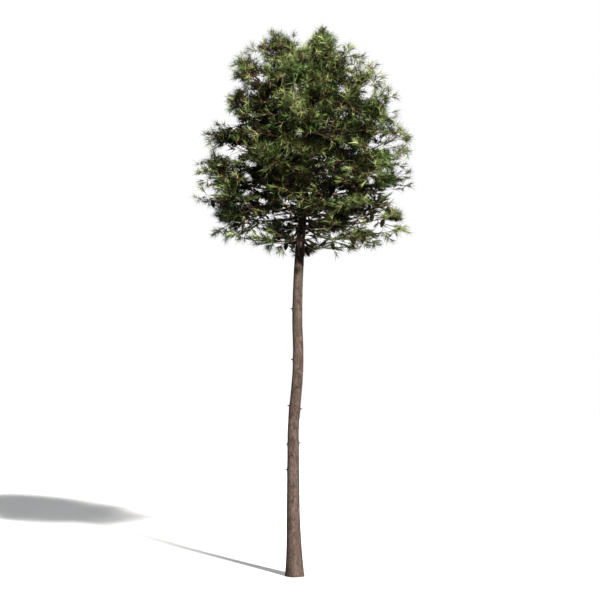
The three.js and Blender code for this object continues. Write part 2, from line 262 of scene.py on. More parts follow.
# A stem runs on from its bough's end, or from the trunk's top, and carries one mass of foliage.
def stemOf(limb, i):
    start = limb["bare"] / limbRule["steps"]
    twigs = math.floor(limb["length"] * (1 - start) / twigRule["spacing"] + 0.5)
    first, step, turns = limbRule["turn"]
    return {
        **limb,
        "start": start,
        "twigs": max(twigRule["fewest"], twigs),
        "tipSize": sprayRule["length"],
        "turn": first + step * (i % turns),
        "rootRadius": limbRadius(limb, start),
        "at": lambda share: onLimb(limb, share),
    }


limbs = [limbOf(t, n) for t, tier in enumerate(tiers) for n in range(tier["boughs"])]
stems = [stemOf(limb, i) for i, limb in enumerate(limbs)]
leaderWay = heading(leader["bearing"], 90 - leader["lean"])
stems.append(
    {
        **leader,
        "name": "leader",
        "tier": len(tiers) - 1,
        "start": 0,
        "side": heading(leader["bearing"] + 90, 0),
        "random": seeded(leader["seed"]),
        "turn": 0,
        "rootRadius": trunk["topRadius"],
        "at": lambda share: (trunkAxis(trunk["top"]) + leaderWay * (share * leader["length"]), leaderWay),
    }
)
lineShares = (0.05, 0.35, 0.7, 1)  # the points of a stem that its room is measured from
for stem in stems:
    stem["line"] = np.array([stem["at"](lerp(stem["start"], 1, share))[0] for share in lineShares])
print(len(limbs), "boughs and", len(stems), "stems are laid out")


# True if a point lies in the crown and nearer to its own stem than to any other.
def inSpace(point, own):
    if crownShare(point) > 1:
        return False
    away = lambda stem: ((stem["line"] - point) ** 2).sum(1).min()
    mine = away(own)
    return all(stem is own or away(stem) > mine for stem in stems)


# The ways up and out from a stem, at a turn round it and flattened to a plate.
def waysFrom(stem, direction, turn, plate):
    up = unit(-np.cross(direction, stem["side"]))
    sideways = stem["side"] * math.cos(math.radians(turn))
    return up, unit(sideways + up * plate * math.sin(math.radians(turn)))


def coneAt(point, bearing):
    return {"root": point - [0, 0, coneRule["stalk"]], "direction": heading(bearing, coneRule["slope"])}


# The sprays of one stem: one at its tip, then one at the end of each twig and one at each twig's side.
def grown(stem):
    rule = twigRule
    between = ranged(stem["random"])

    def fitted(root, way, most):
        return next((share * most for share in fitShares if inSpace(root + way * share * most, stem)), 0)

    point, direction = stem["at"](1)
    made = [
        {
            "root": point - direction * tipSpray["back"],
            "direction": direction,
            "flat": turned(stem["side"], direction, stem["turn"]),
            "length": tipSpray["stalk"],
            "size": stem["tipSize"],
            **broadSpray,
        }
    ]
    for n in range(stem["twigs"]):
        along = (n + between(*rule["along"])) / stem["twigs"]
        point, direction = stem["at"](lerp(stem["start"], 1, along))
        turn = stem["turn"] + n * rule["turn"] + between(-rule["turnSway"], rule["turnSway"])
        sway = between(-rule["angleSway"], rule["angleSway"])
        up, out = waysFrom(stem, direction, turn, rule["plate"])
        way = leant(direction, out, rule["angle"] - rule["closing"] * along + sway)
        way = unit(way + [0, 0, rule["lift"]])
        most = stem["spread"] * (1 - rule["shorten"] * along) * between(*rule["reach"])
        reach = fitted(point, way, most)
        size = min(sprayRule["share"] * reach, sprayRule["length"] * between(*sprayRule["size"]))
        length = reach - size
        flat = turned(unit(np.cross(way, up)), way, between(-rule["roll"], rule["roll"]))

        lean = between(*sideRule["lean"]) * (1 if n % 2 else -1)
        sideWay = leant(way, flat, lean)
        sideWay = unit(sideWay + [0, 0, between(*sideRule["lift"])])
        sideRoll = between(-rule["roll"], rule["roll"])
        sideRoot = point + way * length * sideRule["at"]
        side = fitted(sideRoot, sideWay, size * between(*sideRule["size"]))
        coneBearing = between(0, 360)
        if not reach:
            continue
        twig = {"root": point, "direction": way, "flat": flat, "length": length, "size": size, **broadSpray}
        made.append(twig)
        if side:
            stalk = side * sideRule["stalk"]
            made.append(
                {
                    "root": sideRoot,
                    "direction": sideWay,
                    "flat": turned(flat, sideWay, sideRoll),
                    "length": stalk,
                    "size": side - stalk,
                    **sideSpray,
                }
            )
        if n < conesOn.get(stem["name"], 0):
            twig["cone"] = coneAt(point + way * length / 2, coneBearing)
    return made


# Carried on to finer twigs: every twig carries short shoots, set with needles

needleReach = 0.13  # how far needles stand beyond the end of a shoot
lowToHigh = (7.6, 10.2)  # heights from which and up to which sprays grow looser
woodRadii = {
    "twig": (0.009, 0.005),
    "fine": (0.005, 0.003),
    "shoot": (0.0065, 0.004),
    "stalk": (0.005, 0.005),
}
# The crown's outline has dips: how far it reaches left and right at these heights, as a share of the
# rounded crown's reach.
outline = {
    "height": (7.1, 7.4, 7.65, 7.9, 8.15, 8.6, 8.95, 9.2, 9.45, 9.7, 9.95, 10.2, 10.5, 11.0, 11.5, 11.8),
    "left": (0.95, 1.25, 0.87, 0.86, 1.04, 1.0, 1.02, 0.83, 0.97, 1.02, 0.83, 0.66, 0.87, 1.05, 1.0, 0.86),
    "right": (1.5, 1.28, 1.1, 0.88, 0.86, 1.12, 0.86, 1.03, 1.1, 0.94, 0.94, 1.04, 1.09, 1.12, 1.27, 0.92),
}
# Where the sky shows through, seen from the front: across, up, and half the breadth and height.
openings = [
    (0.85, 7.17, 0.38, 0.19), (0.47, 6.91, 0.30, 0.13), (-0.79, 7.21, 0.26, 0.09),
    (1.98, 9.40, 0.43, 0.19), (1.85, 7.60, 0.28, 0.17), (1.55, 10.51, 0.17, 0.22),
    (-1.33, 9.21, 0.35, 0.19), (-1.50, 9.79, 0.36, 0.17), (-0.31, 7.15, 0.24, 0.13),
    (-1.87, 8.62, 0.17, 0.13), (1.64, 8.66, 0.15, 0.19), (2.09, 8.30, 0.17, 0.15),
    (-1.26, 10.66, 0.15, 0.13), (2.29, 8.71, 0.15, 0.11), (1.01, 10.51, 0.13, 0.13),
    (0.23, 11.70, 0.22, 0.19), (2.09, 10.14, 0.15, 0.13), (-0.72, 10.77, 0.17, 0.11),
    (-0.96, 8.95, 0.17, 0.09), (-0.70, 8.12, 0.19, 0.09), (1.03, 8.36, 0.19, 0.11),
]
eye = (0.122, -45, 5.98)  # the camera's place
reachSlack = 0.04  # ends of twigs stay this far within the solids' reach
bareFront = {"below": 7.72, "half": 0.3}  # the trunk's front is bare up to here, and this far to each side
heart = ((-0.55, 0.45), (-2.5, 0.3), (7.9, 8.75))  # no sky shows here, before the trunk
# How far out in the crown a twig's end lies, and the shades that it is dealt there: 0 is the darkest. Inner
# twigs get darker shades, partly for older needles and partly as painted shade of the crown's inside. Outer
# twigs get lighter shades, partly for young needles and partly as painted light.
shadeRule = {"crown": (0.4, 1.0), "shades": (0.0, 0.62), "stray": 0.12, "shootStray": 0.45, "most": 0.999}


def bezier(root, control, tip, count):
    shares = np.linspace(0, 1, count)[:, None]
    return root * (1 - shares) ** 2 + control * 2 * shares * (1 - shares) + tip * shares**2


def outlineShare(point):
    across = (point[0] - crown["x"]) / crown["radius"]
    reach = np.interp(point[2], outline["height"], outline["left" if across < 0 else "right"])
    return crownShare(point) + across**2 * (1 / reach**2 - 1)


# No twig ends so far out that its needles would leave the solids' reach by much.
def isBeyond(point):
    low, high = solidBounds
    return not all(low[k] + reachSlack < point[k] < high[k] - reachSlack for k in (0, 1))


def isOpen(point):
    nearer = eye[1] / (eye[1] - point[1])
    across, up = eye[0] + (point[0] - eye[0]) * nearer, eye[2] + (point[2] - eye[2]) * nearer
    return any(((across - x) / half) ** 2 + ((up - z) / high) ** 2 < 1 for x, z, half, high in openings)


def inFront(point):
    low = point[2] < bareFront["below"] and point[1] < 0
    return low and abs(point[0] - trunkAxis(point[2])[0]) < bareFront["half"]


# A line that wood or needles follow: stem, twig and fine are wood, tip is needles and shoot is both.
def lineOf(kind, points, radii, shade=0.0):
    return {"kind": kind, "points": points, "radii": radii, "shade": min(max(shade, 0), shadeRule["most"])}


# A shade by how far out in the crown a point lies, with a random stray: darker inside, partly as painted
# shade, and lighter outside, partly as painted light.
def shadeAt(point, between):
    low, high = shadeRule["crown"]
    shade = lerp(*shadeRule["shades"], (crownShare(point) - low) / (high - low))
    return shade + between(-shadeRule["stray"], shadeRule["stray"])


shootRule = {
    "needled": 0.15,  # length of needles at the end of every finer twig
    "spacing": 0.07,
    "last": 0.92,  # share of the twig that the last shoot stands at
    "scatter": (0.2, 0.8),
    "length": (0.1, 0.17),
    "angle": 52,
    "angleSway": 8,
    "lift": 0.12,  # shoots turn up
    "flatness": (0.2, 0.8),  # and lie in flat sprays, the more so low in the crown
}


# Short shoots round a finer twig by the golden angle, from a share of it onwards, and its needled end.
def shootsAlong(path, firstShare, shade, between):
    rule = shootRule
    span = path[-1] - path[0]
    length = math.sqrt(float(span @ span))
    way = unit(path[-1] - path[-2])
    square = unit(np.cross(way, [0, 0, 1]))
    lines = [lineOf("tip", np.array([path[-1] - way * rule["needled"], path[-1]]), (0, 0), shade)]
    count = max(round(length * (1 - firstShare) / rule["spacing"]), 1)
    spin = between(0, 360)
    for n in range(count):
        share = lerp(firstShare, rule["last"], (n + between(*rule["scatter"])) / count)
        at = share * (len(path) - 1)
        i = min(int(at), len(path) - 2)
        base = path[i] + (path[i + 1] - path[i]) * (at - i)
        flatness = lerp(*rule["flatness"], smoothstep(base[2], *lowToHigh))
        out = unit(turned(square, way, spin + twigRule["turn"] * n) * [1, 1, flatness])
        aim = leant(way, out, rule["angle"] + between(-rule["angleSway"], rule["angleSway"]))
        aim = unit(aim + [0, 0, rule["lift"]])
        tip = base + aim * between(*rule["length"])
        if isOpen(tip) or isBeyond(tip):
            continue
        own = shade + between(-shadeRule["shootStray"], shadeRule["shootStray"])
        lines.append(lineOf("shoot", np.array([base, tip]), woodRadii["shoot"], own))
    return lines


fanRule = {
    "back": 0.35,  # the outer twigs of a fan leave this share of its size before its end
    "backMost": 0.9,  # but no farther back than this share of its stalk
    "bend": 0.3,
    "points": 4,
    "scatter": (0.06, 0.22),  # a fan is as thick as this share of its size
    "level": 0.92,  # and low in the crown its width lies this much nearer to level
    "crossing": 0.35,  # share of the finer twigs that still end in an opening
    "shortest": 0.1,
    "within": 0.98,  # twigs that end past this share of the crown
    "cut": 0.85,  # are cut to this share of their length
    "cuts": 4,  # at most this often
    "shoots": (0.5, 0.6),  # from these shares of a tooth's and a notch's twig onwards
    "stalkShoots": 0.6,
    # the stalk's shoots lie further in and are dealt darker shades: painted shade
    "stalkShade": -0.25,
    "shadeFrom": 0.6,  # share of its size at which its shade is read
}


# A source's spray: its twig, and a fan of finer twigs with one for each tooth and notch.
def fanOf(spray, between):
    rule = fanRule
    root, direction, length, size = (spray[key] for key in ("root", "direction", "length", "size"))
    end = root + direction * length
    high = smoothstep(end[2], *lowToHigh)
    level = unit(np.cross(direction, [0, 0, 1]))
    level = level * (1 if float(level @ spray["flat"]) > 0 else -1)
    across = lerp(spray["flat"], level, rule["level"] * (1 - high))
    across = unit(across - direction * float(across @ direction))
    normal = np.cross(direction, across)
    scatter = lerp(*rule["scatter"], high)
    shade = shadeAt(end + direction * size * rule["shadeFrom"], between)
    stalk = np.linspace(root, end, 3)
    lines = [lineOf("twig", stalk, woodRadii["twig"])]
    teeth = spray["teeth"]
    for i in range(2 * teeth - 1):
        share = i / (teeth - 1) - 1
        angle = share * math.radians(spray["fan"])
        short = i % 2
        reach = size * ((sprayRule["notch"] if short else 1) - sprayRule["droop"] * share**2)
        lift = 0 if short else reach * min(sprayRule["ruffle"], scatter) * (1 if i % 4 else -1)
        lift += reach * between(-scatter, scatter)
        goal = end + direction * reach * math.cos(angle) + across * reach * math.sin(angle) + normal * lift
        base = end - direction * min(size * rule["back"] * abs(share), length * rule["backMost"])
        whole = goal - base
        span = math.sqrt(float(whole @ whole))
        tip = base + whole * (max(span - needleReach, rule["shortest"]) / span)
        for cut in range(rule["cuts"]):
            if outlineShare(tip) > rule["within"] or isBeyond(tip):
                tip = base + (tip - base) * rule["cut"]
        if inFront(tip) or isOpen(tip) and between(0, 1) > rule["crossing"]:
            continue
        path = bezier(base, base + direction * span * rule["bend"], tip, rule["points"])
        lines.append(lineOf("fine", path, woodRadii["fine"]))
        lines += shootsAlong(path, rule["shoots"][short], shade, between)
    lines += shootsAlong(stalk, rule["stalkShoots"], shade + rule["stalkShade"], between)[1:]
    return lines


sagRule = {"bend": 0.5, "sag": 0.05, "points": 5, "shoots": 0.5}


# A finer twig with shoots round it, from a point on the wood to a tip, which it reaches in a sagging curve.
def twigTo(root, way, tip, shade, between):
    rule = sagRule
    span = math.sqrt(float((tip - root) @ (tip - root)))
    bend = root + way * span * rule["bend"] - [0, 0, rule["sag"] * span]
    path = bezier(root, bend, tip, rule["points"])
    return [lineOf("twig", path, woodRadii["fine"]), *shootsAlong(path, rule["shoots"], shade, between)]


innerRule = {
    "spacing": 0.15,
    "bare": {0: 0.6, 1: 0.4, 2: 0.25},  # share of the bough's bare foot that stays bare, by tier
    "bareAbove": 0.12,  # and in the tiers above
    "bareLeader": 0.1,
    "last": 0.97,
    "scatter": (0.1, 0.9),
    "turn": 68,  # past the source's own twigs
    "turnSway": 20,
    "angle": 66,
    "closing": 24,
    "angleSway": 10,
    "plate": 0.35,
    "reach": (0.4, 1.0),
    "to": 0.9,  # they stay within this share of the crown
    "shortest": 0.12,
    # inner twigs are dealt darker shades: painted shade within the crown
    "shade": -0.12,
}


# Further twigs of the same rule between the source's own, also on the bough's bare foot.
def innerTwigs(stem, between):
    rule = innerRule
    lines = []
    first = stem["start"] * rule["bare"].get(stem["tier"], rule["bareAbove"])
    if stem["name"] == "leader":
        first = rule["bareLeader"]
    count = round(stem["length"] * (1 - first) / rule["spacing"])
    for n in range(count):
        share = lerp(first, rule["last"], (n + between(*rule["scatter"])) / count)
        point, direction = stem["at"](share)
        turn = stem["turn"] + rule["turn"] + n * twigRule["turn"]
        turn += between(-rule["turnSway"], rule["turnSway"])
        out = waysFrom(stem, direction, turn, rule["plate"])[1]
        sway = between(-rule["angleSway"], rule["angleSway"])
        way = leant(direction, out, rule["angle"] - rule["closing"] * share + sway)
        way = unit(way + [0, 0, twigRule["lift"]])
        most = stem["spread"] * between(*rule["reach"])
        ends = [(part * most, point + way * part * most) for part in fitShares]
        within = (far for far, end in ends if outlineShare(end) < rule["to"] and not isBeyond(end))
        reach = next(within, 0)
        tip = point + way * max(reach - needleReach, rule["shortest"])
        if not reach or inFront(tip) or isOpen(tip):
            continue
        lines += twigTo(point, way, tip, shadeAt(tip, between) + rule["shade"], between)
    return lines


fillRule = {
    "seed": 77,
    "candidates": 16000,
    "box": ((-2.5, 2.8), (-2.5, 2.5), (6.9, 11.9)),
    "to": 0.9,  # they end within this share of the crown
    "room": 0.235,  # the least distance to other needles
    "heartRoom": 0.17,
    "lengths": (0.12, 0.9),
    "slope": 2.2,  # a height counts as this many times its distance, so that they spread rather than climb
    "inwards": 9,  # added to the squared distance of wood that lies farther out than the place
    "outwards": 0.3,  # they set out this much away from the middle
    "rise": 0.4,
    # filling twigs are dealt darker shades: painted shade within the crown
    "shade": -0.1,
}


# Twigs that grow towards the light, into whatever room the crown still has: each candidate place
# that is clear of needles is reached from the nearest wood.
def fillingTwigs(lines):
    rule = fillRule
    between = ranged(seeded(rule["seed"]))
    shortest, longest = rule["lengths"]
    taken = np.array([line["points"][-1] for line in lines if line["kind"] in ("shoot", "tip")])
    woody = [line for line in lines if line["kind"] in ("stem", "twig")]
    wood = [(point, line["tier"]) for line in woody for point in line["points"]]
    woodPlaces = np.array([point for point, tier in wood])
    woodOut = np.hypot(woodPlaces[:, 0] - crown["x"], woodPlaces[:, 1] - crown["y"])
    count = 0
    for n in range(rule["candidates"]):
        place = np.array([between(*side) for side in rule["box"]])
        if outlineShare(place) > rule["to"] or isBeyond(place) or inFront(place) or isOpen(place):
            continue
        inHeart = all(low < place[k] < high for k, (low, high) in enumerate(heart))
        room = rule["heartRoom" if inHeart else "room"]
        if ((taken - place) ** 2).sum(1).min() < room**2:
            continue
        x, y = place[0] - crown["x"], place[1] - crown["y"]
        away = (((woodPlaces - place) * [1, 1, rule["slope"]]) ** 2).sum(1)
        away[woodOut > math.hypot(x, y)] += rule["inwards"]
        nearest = int(away.argmin())
        if not shortest**2 <= away[nearest] <= longest**2:
            continue
        root, tier = wood[nearest]
        way = unit(place - root + unit(np.array([x, y, rule["rise"]])) * rule["outwards"])
        some = twigTo(root, way, place, shadeAt(place, between) + rule["shade"], between)
        lines += [{**line, "tier": tier} for line in some]
        taken = np.vstack([taken, [line["points"][-1] for line in some if line["kind"] != "twig"]])
        count += 1
    print(count, "twigs fill the crown's gaps")


# More cones at the ends of low twigs: places across and up, each taken by the foremost wood near it.
coneSpots = [
    (1.18, 7.18), (1.28, 7.06), (1.41, 7.42), (1.74, 7.78), (1.82, 7.62),
    (2.0, 7.89), (2.19, 7.93), (-1.85, 8.09), (-1.53, 7.89),
]
spotRule = {"reach": 0.16, "seed": 31}


def stalkOf(cone):
    root, stalk = cone["root"], coneRule["stalk"]
    ends = np.array([root + [0, 0, stalk], root + cone["direction"] * stalk])
    return lineOf("twig", ends, woodRadii["stalk"])


def conesAtSpots(lines):
    between = ranged(seeded(spotRule["seed"]))
    wood = np.array([line["points"][-1] for line in lines if line["kind"] in ("fine", "twig")])
    found = []
    for x, z in coneSpots:
        away = np.hypot(wood[:, 0] - x, wood[:, 2] - z - coneRule["length"] / 2)
        near = wood[away < spotRule["reach"]]
        if len(near):
            found.append(coneAt(near[near[:, 1].argmin()], between(0, 360)))
    return found


# Materials: plain colours that grain wanders between


# A new node: each input is linked where it is given another node's output, and set where it is a value.
def addNode(tree, kind, inputs=None, **settings):
    node = tree.nodes.new(kind)
    for name, value in settings.items():
        setattr(node, name, value)
    for key, value in (inputs or {}).items():
        if isinstance(value, bpy.types.NodeSocket):
            tree.links.new(value, node.inputs[key])
        else:
            node.inputs[key].default_value = value
    return node


def maths(tree, operation, a, b=None):
    inputs = {0: a} if b is None else {0: a, 1: b}
    return addNode(tree, "ShaderNodeMath", inputs, operation=operation).outputs[0]


def vectorOf(tree, x, y, z):
    return addNode(tree, "ShaderNodeCombineXYZ", {"X": x, "Y": y, "Z": z}).outputs[0]


def vectorMaths(tree, operation, inputs):
    return addNode(tree, "ShaderNodeVectorMath", inputs, operation=operation).outputs[0]


# A node group, the values that it is given and the inputs that its result goes into.
def newGroup(name, kind, inputs, outputs):
    group = bpy.data.node_groups.new(name, kind)
    for label, socketKind, value in inputs:
        socket = group.interface.new_socket(label, in_out="INPUT", socket_type=socketKind)
        if value is not None:
            socket.default_value = value
    for label, socketKind in outputs:
        group.interface.new_socket(label, in_out="OUTPUT", socket_type=socketKind)
    return group, group.nodes.new("NodeGroupInput").outputs, group.nodes.new("NodeGroupOutput").inputs


# Grain that wanders over the piece between 0 and 1, stretched along the trunk or not.
def grainGroup():
    values = {"Scale": 3.0, "Stretch": 1.0, "Detail": 3.0}
    inputs = [(label, "NodeSocketFloat", value) for label, value in values.items()]
    group, given, result = newGroup("grain", "ShaderNodeTree", inputs, [("Value", "NodeSocketFloat")])
    place = addNode(group, "ShaderNodeTexCoord").outputs["Object"]
    stretched = vectorMaths(group, "MULTIPLY", {0: place, 1: vectorOf(group, 1, 1, given["Stretch"])})
    sizes = {"Scale": given["Scale"], "Detail": given["Detail"]}
    wander = addNode(group, "ShaderNodeTexNoise", {"Vector": stretched, **sizes})
    group.links.new(wander.outputs["Fac"], result["Value"])
    return group


grain = grainGroup()
plainGloss = 0.12


def plainMaterial(name, roughness, gloss=plainGloss):
    material = bpy.data.materials.new(name)
    material.use_nodes = True
    shader = material.node_tree.nodes["Principled BSDF"]
    shader.inputs["Roughness"].default_value = roughness
    shader.inputs["Specular IOR Level"].default_value = gloss
    return material, material.node_tree, shader


def grainNode(tree, scale, stretch=1, detail=3):
    node = addNode(tree, "ShaderNodeGroup", node_tree=grain)
    for label, value in (("Scale", scale), ("Stretch", stretch), ("Detail", detail)):
        node.inputs[label].default_value = value
    return node.outputs["Value"]


def rampBetween(tree, value, stops):
    ramp = addNode(tree, "ShaderNodeValToRGB", {"Fac": value})
    elements = ramp.color_ramp.elements
    while len(elements) < len(stops):
        elements.new(0.5)
    for element, (place, color) in zip(elements, stops):
        element.position = place
        element.color = (*color, 1)
    return ramp.outputs["Color"]


# Shades of needle, darkest first: two plain colours each, between which grain wanders. The darker ones are
# dealt deep in the crown, partly as older needles and partly as painted shade. The lighter ones are dealt
# far out, partly as young needles and partly as painted light.
needleShades = [
    {"name": "needles old and shaded", "gloss": 0.03, "colors": ((0.003, 0.0035, 0.0015), (0.009, 0.0065, 0.003))},
    {"name": "needles deep", "gloss": 0.05, "colors": ((0.008, 0.014, 0.003), (0.024, 0.025, 0.006))},
    {"name": "needles green", "gloss": 0.15, "colors": ((0.023, 0.058, 0.009), (0.068, 0.086, 0.018))},
    {"name": "needles bright", "gloss": 0.22, "colors": ((0.078, 0.15, 0.032), (0.185, 0.212, 0.06))},
    {"name": "needles young and lit", "gloss": 0.22, "colors": ((0.235, 0.345, 0.1), (0.48, 0.51, 0.23))},
]
needleLook = {"roughness": 0.55, "grain": 1.7, "detail": 4, "stops": (0.35, 0.65)}


def needleMaterial(shade):
    look = needleLook
    material, tree, shader = plainMaterial(shade["name"], look["roughness"], shade["gloss"])
    wander = grainNode(tree, look["grain"], detail=look["detail"])
    color = rampBetween(tree, wander, list(zip(look["stops"], shade["colors"])))
    tree.links.new(color, shader.inputs["Base Color"])
    return material


barkLook = {
    "roughness": 0.95,
    "detail": 6,
    "lichenScale": 0.35,  # of the bark's own
    "lichenStretch": 0.6,
    "lichenDetail": 5,
    "lichenFrom": (0.52, 0.7),
    "lichenMost": 0.6,
    "bumpScale": 4,
    "bumpDetail": 5,
    "bumpHeight": 0.004,
}
trunkLook = {
    "stops": [
        (0.3, (0.011, 0.007, 0.005)),
        (0.58, (0.055, 0.037, 0.03)),
        (0.7, (0.087, 0.06, 0.05)),
        (0.8, (0.116, 0.083, 0.071)),
    ],
    "lichen": (0.067, 0.06, 0.04),
    "scale": 14,
    "stretch": 0.3,
    "bump": 0.6,
}
limbLook = {
    "stops": [(0.3, (0.014, 0.01, 0.008)), (0.5, (0.04, 0.028, 0.021)), (0.7, (0.08, 0.057, 0.044))],
    "lichen": (0.07, 0.065, 0.045),
    "scale": 20,
    "stretch": 1,
    "bump": 0.4,
}


# Bark whose colour follows how deep it lies and the shade painted on it, with streaks of lichen that fade in
# the furrows and in the painted shade.
def barkMaterial(name, look):
    rule = barkLook
    material, tree, shader = plainMaterial(name, rule["roughness"])
    scale, stretch = look["scale"], look["stretch"]
    reliefAndShade = addNode(tree, "ShaderNodeAttribute", attribute_name="reliefAndShade").outputs["Fac"]
    mixed = maths(tree, "ADD", grainNode(tree, scale, stretch, rule["detail"]), reliefAndShade)
    bark = rampBetween(tree, maths(tree, "MULTIPLY", mixed, 0.5), look["stops"])
    lichenScale, lichenStretch = scale * rule["lichenScale"], stretch * rule["lichenStretch"]
    streaks = grainNode(tree, lichenScale, lichenStretch, rule["lichenDetail"])
    low, high = rule["lichenFrom"]
    limits = {"From Min": low, "From Max": high, "To Max": rule["lichenMost"]}
    spread = addNode(tree, "ShaderNodeMapRange", {"Value": streaks, **limits}).outputs["Result"]
    lit = addNode(tree, "ShaderNodeMath", {0: spread, 1: reliefAndShade}, operation="MULTIPLY", use_clamp=True)
    colors = {6: bark, 7: (*look["lichen"], 1)}
    grown = addNode(tree, "ShaderNodeMix", {"Factor": lit.outputs[0], **colors}, data_type="RGBA")
    tree.links.new(grown.outputs[2], shader.inputs["Base Color"])
    height = grainNode(tree, scale * rule["bumpScale"], stretch, rule["bumpDetail"])
    settings = {"Strength": look["bump"], "Distance": rule["bumpHeight"]}
    rough = addNode(tree, "ShaderNodeBump", {"Height": height, **settings})
    tree.links.new(rough.outputs["Normal"], shader.inputs["Normal"])
    return material


twigLook = {
    "stops": [(0.35, (0.038, 0.024, 0.018)), (0.65, (0.15, 0.092, 0.066))],
    "roughness": 0.9,
    "scale": 6,
}
shootLook = {
    "stops": [(0.35, (0.16, 0.08, 0.05)), (0.65, (0.42, 0.215, 0.14))],
    "roughness": 0.9,
    "scale": 6,
}
coneLook = {
    "stops": [(0.35, (0.009, 0.006, 0.004)), (0.7, (0.03, 0.018, 0.012))],
    "roughness": 0.85,
    "scale": 25,
}


def mottledMaterial(name, look):
    material, tree, shader = plainMaterial(name, look["roughness"])
    color = rampBetween(tree, grainNode(tree, look["scale"]), look["stops"])
    tree.links.new(color, shader.inputs["Base Color"])
    return material


needleMaterials = [needleMaterial(shade) for shade in needleShades]
trunkBark = barkMaterial("trunk bark", trunkLook)
limbBark = barkMaterial("bough bark", limbLook)
twigMaterial = mottledMaterial("twig bark", twigLook)
shootMaterial = mottledMaterial("young bark", shootLook)
coneMaterial = mottledMaterial("cone scales", coneLook)
print("materials are made")


# Trunk and boughs: tubes with the bark's plates and furrows, and shade painted on the bark


# Rings of points round a path, square to it or level: radii come from a function of ring and angle.
def tube(path, side, sides, radiusAt, level=False):
    path = np.array(path)
    count = len(path)
    points, reliefAndShade = [], []
    for i in range(count):
        way = np.array([0, 0, 1.0]) if level else unit(path[min(i + 1, count - 1)] - path[max(i - 1, 0)])
        across = unit(side - way * float(side @ way))
        up = np.cross(way, across)
        for k in range(sides):
            angle = 2 * math.pi * k / sides
            spoke = across * math.cos(angle) + up * math.sin(angle)
            radius, depth = radiusAt(i, angle, path[i], spoke)
            points.append(path[i] + spoke * radius)
            reliefAndShade.append(depth)
    faces = []
    for i in range(count - 1):
        for k in range(sides):
            a, b = i * sides + k, i * sides + (k + 1) % sides
            faces.append((a, b, b + sides, a + sides))
    faces.append(tuple(reversed(range(sides))))
    faces.append(tuple(range((count - 1) * sides, count * sides)))
    return points, faces, reliefAndShade


# One piece of several closed shapes, smooth but for its flat ends, with how deep its bark lies and how much
# shade is painted on it.
def pieceOf(name, shapes, material):
    points, faces, reliefAndShade = [], [], []
    for shapePoints, shapeFaces, shapeRelief in shapes:
        faces += [tuple(v + len(points) for v in face) for face in shapeFaces]
        points += shapePoints
        reliefAndShade += shapeRelief
    mesh = bpy.data.meshes.new(name)
    mesh.from_pydata([tuple(map(float, point)) for point in points], [], faces)
    mesh.attributes.new("reliefAndShade", "FLOAT", "POINT").data.foreach_set("value", reliefAndShade)
    mesh.polygons.foreach_set("use_smooth", [len(face) == 4 for face in faces])
    mesh.materials.append(material)
    return addPiece(name, mesh)


def addPiece(name, mesh):
    piece = bpy.data.objects.new(name, mesh)
    bpy.context.scene.collection.objects.link(piece)
    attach(piece, "root")
    print(name, sum(len(face.vertices) - 2 for face in mesh.polygons), "triangles")
    return piece


furrowRule = {
    "seed": 7,
    "warp": 0.45,
    "warpScale": 0.7,
    "width": 0.28,
    "slope": 1.5,
    "depth": 0.8,
    "fine": 0.2,
    "fineScale": 3.1,
}
noise.seed_set(furrowRule["seed"])  # noise_vector takes its offsets from this


# Bark in plates with furrows between them: how far a place lies below the plates, from 0 to 1.
def furrow(point, plates, stretch):
    rule = furrowRule
    place = Vector((point[0] * plates, point[1] * plates, point[2] * plates * stretch))
    place += noise.noise_vector(place * rule["warpScale"]) * rule["warp"]
    near, far = noise.voronoi(place)[0][:2]
    edge = max(0, 1 - (far - near) / rule["width"])
    return edge ** rule["slope"] * rule["depth"] + rule["fine"] * abs(noise.noise(place * rule["fineScale"]))


def noiseAt(point, scale):
    return noise.noise(Vector([point[k] * scale[k] for k in range(3)]))


barkRule = {
    "sides": 96,
    "rings": 880,
    "footwards": 1.06,  # rings lie closer at the foot
    "plates": 26,  # plates of bark to the metre round the trunk
    "stretch": 0.24,  # and this share of that up it
    "depth": (0.0035, 0.002),  # furrows at the foot and at the top
    "thin": 0.08,  # and shallower where the trunk is thinner than this
    "swell": 0.007,
    "contrast": 0.5,  # how strongly the furrows darken the bark, as painted shade in them
    "bands": 0.12,  # faint bands round the trunk
    "bandScale": (3, 3, 26),
    "knots": 0.008,
    "knotSize": (0.045, 1.2),  # half its breadth, and how many times as high it is
    "knotReach": 0.2,
    "shade": 0.95,  # how much darker the bark is within the crown: partly darker bark, partly the crown's shade painted on it
    "shadeFrom": (6.72, 6.8),
    "ragged": (0.25, 9),  # how far and how finely the shade's edge wanders
    "flakes": 0.8,  # and how far lighter flakes of bark break that
    "flakeScale": (30, 30, 12),
    "flakeEdges": (-0.02, 0.22),
}
stubs = [
    (1.63, -92), (2.285, 178), (2.62, -96), (2.843, 186), (2.865, 4),
    (3.604, -8), (3.676, 181), (4.091, -84), (4.677, 176), (5.773, 183),
    (2.36, 64), (3.19, 118), (4.24, 75), (5.23, 104), (6.12, 52),
]  # height and bearing
stubRule = {"length": 0.046, "radii": (0.017, 0.011), "rise": 8, "sunk": 0.04, "shade": 0.35}
scar = (6.745, -38)
scarRule = {"length": 0.012, "radii": (0.056, 0.04), "rise": 0, "sunk": 0.04, "shade": -0.4}
# A stub's section: shares of its length, each with a share of its breadth, to a broken end, hollowed, whose
# middle is painted dark as the shade within it.
stubSection = [(0, 1), (0.35, 1.25), (0.6, 1), (0.8, 1), (0.93, 1), (1, 0.86), (0.985, 0.55)]
stubSkin = {"sides": 14, "hollowShade": 0.1, "scale": 40, "rough": 0.1, "reliefAndShade": 0.3}


